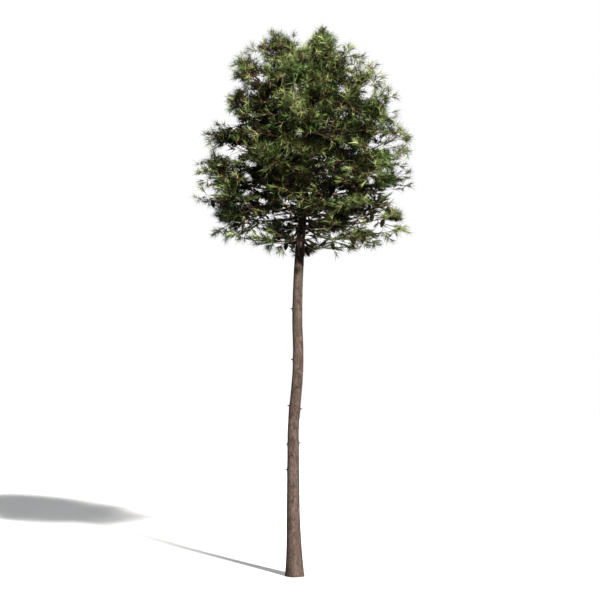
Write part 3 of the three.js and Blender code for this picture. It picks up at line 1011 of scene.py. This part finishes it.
def trunkPiece():
    rule = barkRule
    rings = rule["rings"]
    heights = [trunk["top"] * (i / rings) ** rule["footwards"] for i in range(rings + 1)]
    knotSize, knotHeight = rule["knotSize"]
    wander, wanderScale = rule["ragged"]

    def radiusAt(i, angle, middle, spoke):
        height = heights[i]
        radius = trunkRadius(height) + flareRadius(height, angle)
        skin = middle + spoke * radius
        deep = furrow(skin, rule["plates"], rule["stretch"])
        fade = min(radius / rule["thin"], 1)
        radius += rule["swell"] - lerp(*rule["depth"], min(height / trunk["top"], 1)) * deep * fade
        for at, bearing in [*stubs, scar]:
            if abs(height - at) < rule["knotReach"]:
                gap = math.remainder(angle - math.radians(bearing), 2 * math.pi) * radius
                away = (gap / knotSize) ** 2 + ((height - at) / knotSize / knotHeight) ** 2
                radius += rule["knots"] * math.exp(-away)
        ragged = height + wander * noise.noise(Vector(skin) * wanderScale)
        # The tone: faint bands round the trunk, and painted shade in the furrows.
        band = rule["bands"] * noiseAt(skin, rule["bandScale"])
        shallow = 1 - deep * rule["contrast"] + band
        # Within the crown the bark is painted darker, partly as darker bark and partly as the crown's
        # painted shade, with a ragged edge and broken by lighter flakes.
        flake = smoothstep(noiseAt(skin, rule["flakeScale"]), *rule["flakeEdges"])
        shade = rule["shade"] * smoothstep(ragged, *rule["shadeFrom"])
        return radius, shallow - shade * (1 - rule["flakes"] * flake)

    path = [trunkAxis(height) for height in heights]
    shapes = [tube(path, np.array([1.0, 0, 0]), rule["sides"], radiusAt, level=True)]
    shapes += [stubShape(stub, stubRule) for stub in stubs] + [stubShape(scar, scarRule)]
    piece = pieceOf("trunk_bark", shapes, trunkBark)
    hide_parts("trunk")


def stubShape(stub, rule):
    height, bearing = stub
    out = heading(bearing, rule["rise"])
    foot = trunkRadius(height) - rule["sunk"]
    reach = rule["length"] + rule["sunk"]
    path = [trunkAxis(height) + out * (foot + reach * share) for share, breadth in stubSection]
    skin = stubSkin

    def radiusAt(i, angle, middle, spoke):
        share, breadth = stubSection[i]
        if i == len(stubSection) - 1:
            # the end's middle, painted dark as shade
            return rule["radii"][1] * breadth, skin["hollowShade"]
        wide = lerp(*rule["radii"], share) * breadth
        rough = noise.noise(Vector(middle + spoke) * skin["scale"])
        return wide * (1 + skin["rough"] * rough), rule["shade"] + skin["reliefAndShade"] * rough

    return tube(path, np.array([0, 0, 1.0]), skin["sides"], radiusAt)


boughRule = {
    "sides": 14,
    "rings": 36,
    "footwards": 1.2,
    "end": 1.01,  # share of its bare length, so that it runs into its foliage
    "plates": 34,
    "stretch": 0.8,
    "swell": 0.001,
    "depth": 0.004,
    "heights": (7.6, 9.5),  # low in the crown the bark is painted darker, as shade
    "reliefAndShade": (0.45, 0.9),
}


def boughPiece():
    rule = boughRule
    rings = rule["rings"]
    shapes = []
    for limb in limbs:
        end = limb["bare"] / limbRule["steps"]
        shares = [end * rule["end"] * (i / rings) ** rule["footwards"] for i in range(rings + 1)]
        path = [onLimb(limb, share)[0] for share in shares]

        def radiusAt(i, angle, middle, spoke):
            radius = limbRadius(limb, shares[i])
            deep = furrow(middle + spoke * radius, rule["plates"], rule["stretch"])
            # painted shade: the bark is drawn darker low in the crown, and darker in its furrows
            lit = lerp(*rule["reliefAndShade"], smoothstep(middle[2], *rule["heights"]))
            return radius + rule["swell"] - rule["depth"] * deep, lit - deep

        shapes.append(tube(path, limb["side"], rule["sides"], radiusAt))
    piece = pieceOf("bough_bark", shapes, limbBark)
    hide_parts(*[f"bough_{limb['name']}" for limb in limbs])


# Twigs, needles and cones: Geometry Nodes along the lines that the rule grew


# Needles deep in the crown are broader, so that it isn't seen through: shares of the crown, then breadths.
needleBreadth = ((0.25, 0.8), (1.9, 0.9))
# Low in the crown they lie closer along their shoots than at its top and its outside.
needleSpread = {"values": (0.5, 1), "height": (8.0, 9.2), "crown": (0.68, 0.92)}


def spreadAt(point):
    high = smoothstep(point[2], *needleSpread["height"])
    outside = smoothstep(outlineShare(point), *needleSpread["crown"])
    return lerp(*needleSpread["values"], max(high, outside))


# A mesh of lines whose points carry a radius, a shade and how broad and spread their needles are.
def linesMesh(name, lines):
    points, edges, girths, shades, breadths, spreads = [], [], [], [], [], []
    for line in lines:
        first, count, tip = len(points), len(line["points"]), line["points"][-1]
        points += [tuple(map(float, point)) for point in line["points"]]
        edges += [(first + i, first + i + 1) for i in range(count - 1)]
        girths += [float(r) for r in np.linspace(*line["radii"], count)]
        shades += [int(line["shade"] * len(needleShades))] * count
        breadths += [float(np.interp(crownShare(tip), *needleBreadth))] * count
        spreads += [float(spreadAt(tip))] * count
    mesh = bpy.data.meshes.new(name)
    mesh.from_pydata(points, edges, [])
    mesh.attributes.new("shade", "INT", "POINT").data.foreach_set("value", shades)
    for label, values in (("girth", girths), ("breadth", breadths), ("spread", spreads)):
        mesh.attributes.new(label, "FLOAT", "POINT").data.foreach_set("value", values)
    return mesh


def attributeNode(tree, name, kind):
    node = addNode(tree, "GeometryNodeInputNamedAttribute", {"Name": name}, data_type=kind)
    return node.outputs["Attribute"]


def randomNode(tree, low, high, seed):
    node = addNode(tree, "FunctionNodeRandomValue", {"Min": low, "Max": high, "Seed": seed})
    return node.outputs["Value"]


def turnedTo(tree, way):
    return addNode(tree, "FunctionNodeAlignRotationToVector", {"Vector": way}, axis="Z").outputs["Rotation"]


def coneMesh(tree, inputs):
    shape = {"Side Segments": 1, "Fill Segments": 1, **inputs}
    return addNode(tree, "GeometryNodeMeshCone", shape, fill_type="NGON").outputs["Mesh"]


def instances(tree, points, instance, rotation, **more):
    inputs = {"Points": points, "Instance": instance, "Rotation": rotation, **more}
    return addNode(tree, "GeometryNodeInstanceOnPoints", inputs).outputs["Instances"]


def realized(tree, geometry):
    return addNode(tree, "GeometryNodeRealizeInstances", {"Geometry": geometry}).outputs["Geometry"]


def painted(tree, geometry, material, **more):
    inputs = {"Geometry": geometry, "Material": material, **more}
    return addNode(tree, "GeometryNodeSetMaterial", inputs).outputs["Geometry"]


# Wood round the lines.
def twigNodes(material):
    inputs = [("Lines", "NodeSocketGeometry", None), ("Sides", "NodeSocketInt", 4)]
    outputs = [("Twigs", "NodeSocketGeometry")]
    tree, given, result = newGroup("twigs along lines", "GeometryNodeTree", inputs, outputs)
    curve = addNode(tree, "GeometryNodeMeshToCurve", {"Mesh": given["Lines"]}).outputs["Curve"]
    ring = addNode(tree, "GeometryNodeCurvePrimitiveCircle", {"Resolution": given["Sides"], "Radius": 1})
    girth = attributeNode(tree, "girth", "FLOAT")
    shapes = {"Curve": curve, "Profile Curve": ring.outputs["Curve"], "Scale": girth, "Fill Caps": True}
    wood = addNode(tree, "GeometryNodeCurveToMesh", shapes).outputs["Mesh"]
    tree.links.new(painted(tree, realized(tree, wood), material), result["Twigs"])
    return tree


needleRule = {
    "Spacing": 0.0087,
    "Length": 0.18,
    "Width": 0.0125,
    "Bare": 0.3,  # share of a shoot without needles, at its foot
    "Lean": 60.0,  # off the shoot at its foot
    "Tip Lean": 32.0,  # and at its end
    "Stray": 15.0,
    "Sag": 0.08,
}
goldenTurn = 2.39996  # radians
needleDraws = {  # what strays from needle to needle: the least, the most and a seed
    "turn": (-0.5, 0.5, 3),
    "lean": (-1, 1, 7),
    "length": (0.72, 1.08, 11),
    "shade": (-1.8, 1.8, 23),
}
needleFlatness = 1.7  # a power of their spread: the closer they lie, the flatter their sprays


# Needles all round each shoot, by the golden angle, closing up towards its end.
def needleNodes():
    sizes = [(label, "NodeSocketFloat", value) for label, value in needleRule.items()]
    inputs = [("Shoots", "NodeSocketGeometry", None), *sizes]
    outputs = [("Needles", "NodeSocketGeometry")]
    tree, given, result = newGroup("needles along shoots", "GeometryNodeTree", inputs, outputs)
    times = lambda a, b: maths(tree, "MULTIPLY", a, b)
    plus = lambda a, b: maths(tree, "ADD", a, b)
    longer = lambda vector, factor: vectorMaths(tree, "SCALE", {0: vector, "Scale": factor})
    joined = lambda a, b: vectorMaths(tree, "ADD", {0: a, 1: b})
    strayed = {label: randomNode(tree, *draw) for label, draw in needleDraws.items()}
    curve = addNode(tree, "GeometryNodeMeshToCurve", {"Mesh": given["Shoots"]}).outputs["Curve"]
    lengths = {"Curve": curve, "Length": given["Spacing"]}
    spaced = addNode(tree, "GeometryNodeResampleCurve", lengths, mode="LENGTH").outputs["Curve"]
    sides = {"Vertices": 3, "Radius Top": 0, "Radius Bottom": times(given["Width"], 0.5)}
    needle = coneMesh(tree, {**sides, "Depth": given["Length"]})

    along = addNode(tree, "GeometryNodeSplineParameter").outputs["Factor"]
    way = addNode(tree, "GeometryNodeInputTangent").outputs["Tangent"]
    side = addNode(tree, "GeometryNodeInputNormal").outputs["Normal"]
    number = addNode(tree, "GeometryNodeInputIndex").outputs["Index"]
    around = {"Axis": way, "Angle": plus(times(number, goldenTurn), strayed["turn"])}
    spoke = addNode(tree, "ShaderNodeVectorRotate", {"Vector": side, **around}).outputs["Vector"]
    leans = {"Value": along, "To Min": given["Lean"], "To Max": given["Tip Lean"]}
    lean = addNode(tree, "ShaderNodeMapRange", leans).outputs["Result"]
    spread = attributeNode(tree, "spread", "FLOAT")
    angle = maths(tree, "RADIANS", plus(times(lean, spread), times(strayed["lean"], given["Stray"])))
    level = maths(tree, "POWER", spread, needleFlatness)
    spoke = vectorMaths(tree, "MULTIPLY", {0: spoke, 1: vectorOf(tree, 1, 1, level)})
    forwards = longer(way, maths(tree, "COSINE", angle))
    outwards = longer(spoke, maths(tree, "SINE", angle))
    down = vectorOf(tree, 0, 0, times(given["Sag"], -1))
    turn = turnedTo(tree, joined(joined(forwards, outwards), down))

    broad = attributeNode(tree, "breadth", "FLOAT")
    own = plus(attributeNode(tree, "shade", "INT"), maths(tree, "ROUND", strayed["shade"]))
    own = maths(tree, "MAXIMUM", maths(tree, "MINIMUM", own, len(needleShades) - 1), 0)
    dealt = {"Geometry": spaced, "Name": "shade", "Value": own}
    shaded = addNode(tree, "GeometryNodeStoreNamedAttribute", dealt, data_type="INT").outputs["Geometry"]
    more = {
        "Scale": vectorOf(tree, broad, broad, strayed["length"]),
        "Selection": maths(tree, "GREATER_THAN", along, given["Bare"]),
    }
    geometry = realized(tree, instances(tree, shaded, needle, turn, **more))
    shade = attributeNode(tree, "shade", "INT")
    for i, material in enumerate(needleMaterials):
        same = addNode(tree, "FunctionNodeCompare", {2: shade, 3: i}, data_type="INT", operation="EQUAL")
        geometry = painted(tree, geometry, material, Selection=same.outputs["Result"])
    tree.links.new(geometry, result["Needles"])
    return tree


carried = ("girth", "shade", "breadth", "spread", "radius", "way")


# Runs a tree of nodes over a mesh and gives what it makes as a plain mesh.
def madeBy(tree, mesh, inputs):
    carrier = bpy.data.objects.new("carrier", mesh)
    bpy.context.scene.collection.objects.link(carrier)
    modifier = carrier.modifiers.new("rule", "NODES")
    modifier.node_group = tree
    items = tree.interface.items_tree
    identifiers = {item.name: item.identifier for item in items if item.in_out == "INPUT"}
    for name, value in inputs.items():
        modifier[identifiers[name]] = value
    seen = carrier.evaluated_get(bpy.context.evaluated_depsgraph_get())
    made = bpy.data.meshes.new_from_object(seen)
    bpy.data.objects.remove(carrier)
    bpy.data.meshes.remove(mesh)
    for name in [a.name for a in made.attributes if a.name in carried]:
        made.attributes.remove(made.attributes[name])
    return made


coneShape = {"Scales": 90, "Length": coneRule["length"], "Width": coneRule["width"], "Open": 0.35}
coneForm = {
    "bulge": (0.7, 3.0),  # a sine, widest at 0.4 of the length
    "girth": 0.3,  # how far out the scales stand, as a share of the width
    "scale": 0.24,  # their length, as such a share
    "scaleRadii": (0.011, 0.004),
    "scaleSizes": (0.45, 0.6),  # at the ends, and how much more at the widest place
    "core": {"Segments": 10, "Rings": 8, "Radius": 1},
    "coreWidth": 0.33,
}


# Cone scales laid in spirals round a spindle, one cone for each point.
def coneNodes():
    form = coneForm
    sizes = [(label, "NodeSocketFloat", coneShape[label]) for label in ("Length", "Width", "Open")]
    sizes.append(("Scales", "NodeSocketInt", coneShape["Scales"]))
    inputs = [("Places", "NodeSocketGeometry", None), *sizes]
    outputs = [("Cones", "NodeSocketGeometry")]
    tree, given, result = newGroup("scales round cones", "GeometryNodeTree", inputs, outputs)
    times = lambda a, b: maths(tree, "MULTIPLY", a, b)
    number = addNode(tree, "GeometryNodeInputIndex").outputs["Index"]
    dots = addNode(tree, "GeometryNodePoints", {"Count": given["Scales"]}).outputs["Points"]
    along = maths(tree, "DIVIDE", maths(tree, "ADD", number, 0.5), given["Scales"])
    power, turn = form["bulge"]
    bulge = maths(tree, "SINE", times(maths(tree, "POWER", along, power), turn))
    girth = times(times(given["Width"], form["girth"]), bulge)
    angle = times(number, goldenTurn)
    x, y = maths(tree, "COSINE", angle), maths(tree, "SINE", angle)
    spots = vectorOf(tree, times(x, girth), times(y, girth), times(along, given["Length"]))
    placed = addNode(tree, "GeometryNodeSetPosition", {"Geometry": dots, "Position": spots})
    top, bottom = form["scaleRadii"]
    depth = times(given["Width"], form["scale"])
    scale = coneMesh(tree, {"Vertices": 5, "Radius Top": top, "Radius Bottom": bottom, "Depth": depth})
    least, more = form["scaleSizes"]
    opened = turnedTo(tree, vectorOf(tree, x, y, given["Open"]))
    size = maths(tree, "ADD", times(bulge, more), least)
    scales = instances(tree, placed.outputs["Geometry"], scale, opened, Scale=size)
    core = addNode(tree, "GeometryNodeMeshUVSphere", form["core"])
    breadth, half = times(given["Width"], form["coreWidth"]), times(given["Length"], 0.5)
    coreSize = {"Translation": vectorOf(tree, 0, 0, half), "Scale": vectorOf(tree, breadth, breadth, half)}
    heart = addNode(tree, "GeometryNodeTransform", {"Geometry": core.outputs["Mesh"], **coreSize})
    cone = tree.nodes.new("GeometryNodeJoinGeometry")
    for geometry in (scales, heart.outputs["Geometry"]):
        tree.links.new(geometry, cone.inputs[0])
    whole = addNode(tree, "GeometryNodeGeometryToInstance", {"Geometry": cone.outputs[0]})
    hang = turnedTo(tree, attributeNode(tree, "way", "FLOAT_VECTOR"))
    hung = realized(tree, instances(tree, given["Places"], whole.outputs["Instances"], hang))
    tree.links.new(painted(tree, hung, coneMaterial), result["Cones"])
    return tree


foliageRule = {
    "seeds": 5000,
    "stemPoints": 9,
    "stemTip": 0.008,
    "sides": {"stem": 10, "twig": 5, "fine": 3, "shoot": 3},
}


def foliagePieces():
    rule = foliageRule
    lines, cones = [], []
    for i, stem in enumerate(stems):
        between = ranged(seeded(rule["seeds"] + i))
        shares = np.linspace(0, 1, rule["stemPoints"])
        path = [stem["at"](lerp(stem["start"], 1, share))[0] for share in shares]
        some = [lineOf("stem", path, (stem["rootRadius"], rule["stemTip"]))]
        for spray in grown(stem):
            some += fanOf(spray, between)
            if "cone" in spray:
                cones.append(spray["cone"])
                some.append(stalkOf(spray["cone"]))
        some += innerTwigs(stem, between)
        lines += [{**line, "tier": stem["tier"]} for line in some]
    fillingTwigs(lines)
    more = conesAtSpots(lines)
    cones += more
    lines += [{**stalkOf(cone), "tier": 0} for cone in more]
    print(len(lines), "stems, twigs and shoots,", len(cones), "cones")

    tree = needleNodes()
    for t in range(len(tiers)):
        shoots = [line for line in lines if line["tier"] == t and line["kind"] in ("shoot", "tip")]
        made = madeBy(tree, linesMesh("shoots", shoots), needleRule)
        piece = addPiece(f"needles_{t + 1}", made)
        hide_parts(*[f"foliage_{stem['name']}" for stem in stems if stem["tier"] == t])
    oldWood, youngWood = twigNodes(twigMaterial), twigNodes(shootMaterial)
    for kind, sides in rule["sides"].items():
        some = [line for line in lines if line["kind"] == kind]
        wood = youngWood if kind == "shoot" else oldWood
        made = madeBy(wood, linesMesh(kind, some), {"Sides": sides})
        made.polygons.foreach_set("use_smooth", [True] * len(made.polygons))
        addPiece(f"wood_{kind}", made)

    places = bpy.data.meshes.new("cone places")
    places.from_pydata([tuple(map(float, cone["root"])) for cone in cones], [], [])
    ways = [float(value) for cone in cones for value in cone["direction"]]
    places.attributes.new("way", "FLOAT_VECTOR", "POINT").data.foreach_set("vector", ways)
    addPiece("cones", madeBy(coneNodes(), places, coneShape))


trunkPiece()
boughPiece()
foliagePieces()


# Floor, light and camera

suns = [
    {"name": "sun", "power": 9.2, "angle": 3.2, "bearing": 117, "height": 29, "color": (1, 0.97, 0.93)},
    {"name": "fill", "power": 0.92, "angle": 20, "bearing": 60, "height": 8, "color": (0.97, 0.99, 1)},
    {"name": "back", "power": 1.8, "angle": 70, "bearing": 275, "height": 30, "color": (0.97, 0.99, 1)},
]
sky = {"color": (1, 1, 1), "seen": 1.0, "given": 0.018}  # how bright to the camera, and as a light
floorRule = {"half": 60, "drop": 0.002, "color": (0.95, 0.95, 0.95), "roughness": 0.9}
cameraRule = {"lens": 124.7, "sensor": 36, "farthest": 300}


def stageScene():
    floorMaterial, tree, shader = plainMaterial("floor", floorRule["roughness"])
    shader.inputs["Base Color"].default_value = (*floorRule["color"], 1)
    half = floorRule["half"]
    corners = [(-half, -half, 0), (half, -half, 0), (half, half, 0), (-half, half, 0)]
    mesh = bpy.data.meshes.new("floor")
    mesh.from_pydata(corners, [], [(0, 1, 2, 3)])
    mesh.materials.append(floorMaterial)
    floor = bpy.data.objects.new("floor", mesh)
    floor.location.z = -floorRule["drop"]
    floor.visible_diffuse = False  # the crown's inside stays dark, as in the shade of a real one
    bpy.context.scene.collection.objects.link(floor)
    floor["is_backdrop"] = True

    for rule in suns:
        data = bpy.data.lights.new(rule["name"], "SUN")
        data.energy = rule["power"]
        data.angle = math.radians(rule["angle"])
        data.color = rule["color"]
        sun = bpy.data.objects.new(rule["name"], data)
        towards = Vector(heading(rule["bearing"], -rule["height"]))
        sun.rotation_euler = towards.to_track_quat("-Z", "Y").to_euler()
        bpy.context.scene.collection.objects.link(sun)

    world = bpy.data.worlds.new("white studio")
    world.use_nodes = True
    nodes = world.node_tree
    background = nodes.nodes["Background"]
    background.inputs["Color"].default_value = (*sky["color"], 1)
    sight = addNode(nodes, "ShaderNodeLightPath").outputs["Is Camera Ray"]
    limits = {"To Min": sky["given"], "To Max": sky["seen"]}
    strength = addNode(nodes, "ShaderNodeMapRange", {"Value": sight, **limits})
    nodes.links.new(strength.outputs["Result"], background.inputs["Strength"])
    bpy.context.scene.world = world
    bpy.context.scene.view_settings.view_transform = "Standard"

    cameraData = bpy.data.cameras.new("camera")
    cameraData.lens = cameraRule["lens"]
    cameraData.sensor_width = cameraRule["sensor"]
    cameraData.clip_end = cameraRule["farthest"]
    camera = bpy.data.objects.new("camera", cameraData)
    camera.location = eye
    camera.rotation_euler = (math.pi / 2, 0, 0)
    bpy.context.scene.collection.objects.link(camera)
    bpy.context.scene.camera = camera
    print("floor, light and camera are set")


stageScene()

plain = lambda box: [[float(value) for value in corner] for corner in box]
{"solids": plain(solidBounds), "visual": plain(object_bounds())}
